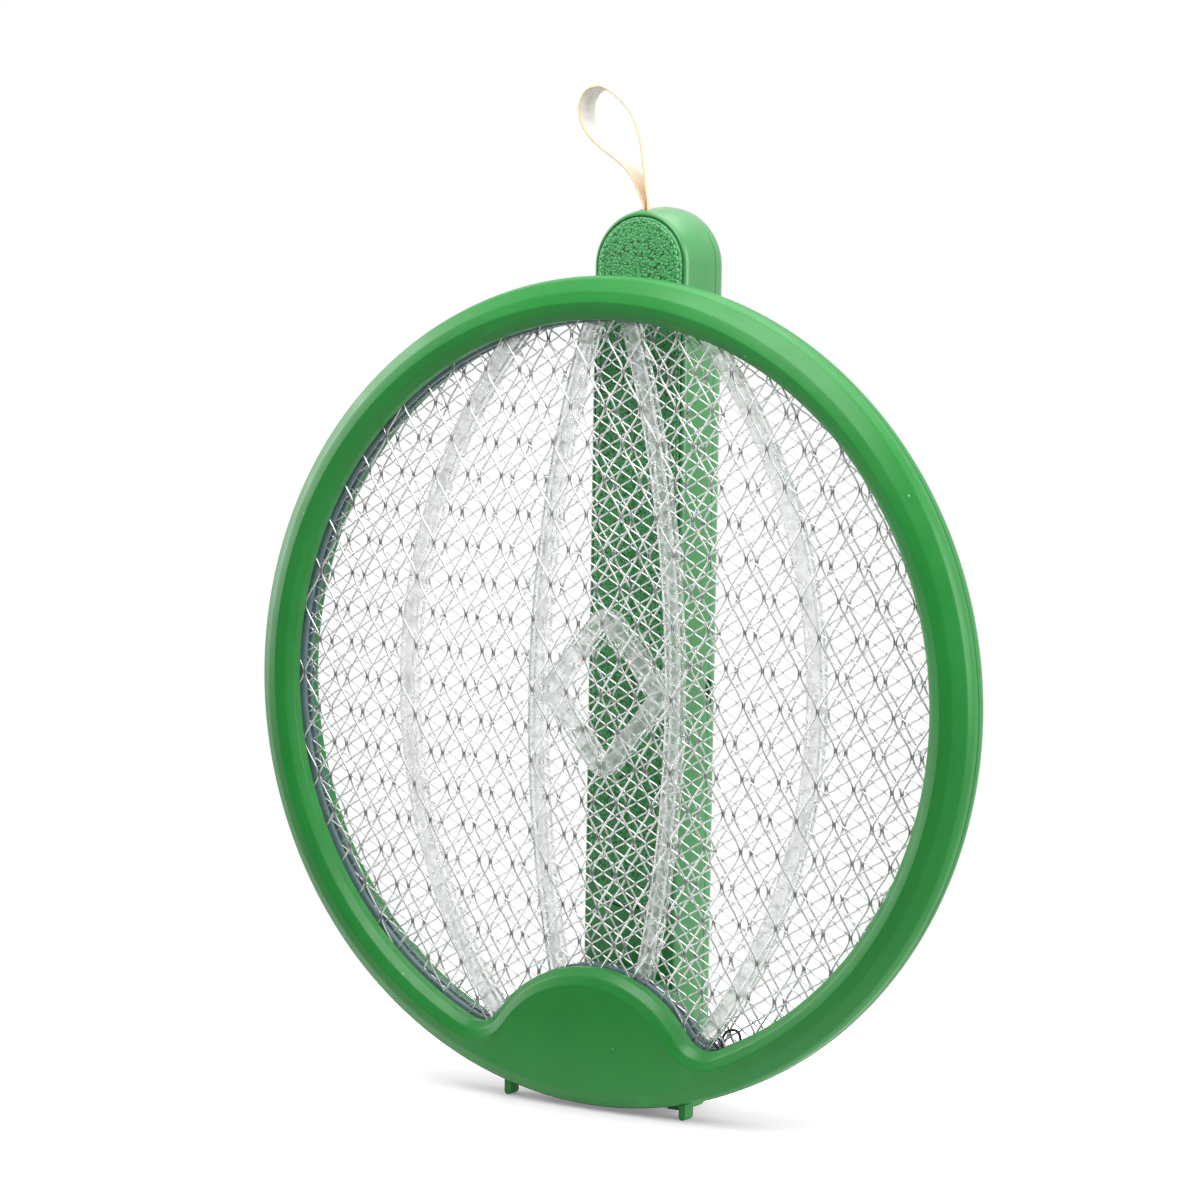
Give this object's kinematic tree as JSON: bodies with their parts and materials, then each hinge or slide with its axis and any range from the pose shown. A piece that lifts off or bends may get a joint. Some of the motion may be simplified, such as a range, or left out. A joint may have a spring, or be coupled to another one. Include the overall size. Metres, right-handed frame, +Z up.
{
  "type": "electric bug zapper",
  "caption": "Folding round electric mosquito swatter: steel grids in a green ring shell, clear ribs between them, and a handle with a leather-look pad and ribbon loop folded up behind.",
  "frame": {"origin": "on the floor, under the middle of the object's box, with the handle folded", "axes": "+Z up, -Y out of the head's front face, +X to the right seen from the front"},
  "size_m": [0.2228, 0.0438, 0.2757],
  "materials": {
    "green_shell": "satin",
    "green_handle": "satin",
    "grid_steel": "bright drawn wire",
    "clear_plastic": "clear",
    "pin_steel": "ground",
    "washer_plastic": "natural nylon",
    "circuit_board": "solder mask",
    "black_plastic": "matt",
    "component_wrap": "shrink wrap",
    "grip_leather": "pebbled grain with a stitch line",
    "socket_steel": "plated",
    "led_lens": "clear lens",
    "ribbon": "satin with gold edges",
    "button_plastic": "satin",
    "slider_plastic": "satin",
    "screw_steel": "zinc plated"
  },
  "bodies": {
    "head": {"front_ring_shell": "green_shell", "rear_ring_shell": "green_shell", "front_grid": "grid_steel", "middle_grid": "grid_steel", "rear_grid": "grid_steel", "front_rib_frame": "clear_plastic", "rear_rib_frame": "clear_plastic", "foot_left": "green_shell", "foot_right": "green_shell", "hinge_fork": "green_shell", "hinge_pin": "pin_steel", "hinge_washer_left": "washer_plastic", "hinge_washer_right": "washer_plastic", "hv_board": "circuit_board", "hv_transformer": "black_plastic", "hv_capacitor": "component_wrap", "front_grid_lead": "black_plastic", "rear_grid_lead": "black_plastic", "ring_screw_1": "screw_steel", "ring_screw_2": "screw_steel", "ring_screw_3": "screw_steel", "ring_screw_4": "screw_steel", "ring_screw_5": "screw_steel", "ring_screw_6": "screw_steel", "fork_screw_1": "screw_steel", "fork_screw_2": "screw_steel"},
    "handle": {"handle_front_shell": "green_handle", "handle_rear_cover": "green_handle", "grip_pad": "grip_leather", "hinge_knuckle": "green_handle", "battery_cell": "component_wrap", "main_board": "circuit_board", "usb_socket": "socket_steel", "tact_switch": "black_plastic", "slide_switch_body": "socket_steel", "status_led": "led_lens", "wrist_strap": "ribbon", "strap_pin": "pin_steel", "handle_screw_1": "screw_steel", "handle_screw_2": "screw_steel", "handle_screw_3": "screw_steel", "handle_screw_4": "screw_steel"},
    "button": {"zap_button": "button_plastic"},
    "slider": {"mode_slider": "slider_plastic"}
  },
  "joints": [
    {"name": "handle_fold", "type": "hinge", "parent": "head", "child": "handle", "pos_m": [0, 0.0007, 0.0083], "axis": [-1, 0, 0], "range_deg": [0, 180]},
    {"name": "zap_press", "type": "slide", "parent": "handle", "child": "button", "axis": [0, -1, 0], "range_m": [0, 0.0012], "stiffness_N_per_m": 1500},
    {"name": "mode_slide", "type": "slide", "parent": "handle", "child": "slider", "axis": [0, 0, 1], "range_m": [0, 0.005]}
  ]
}
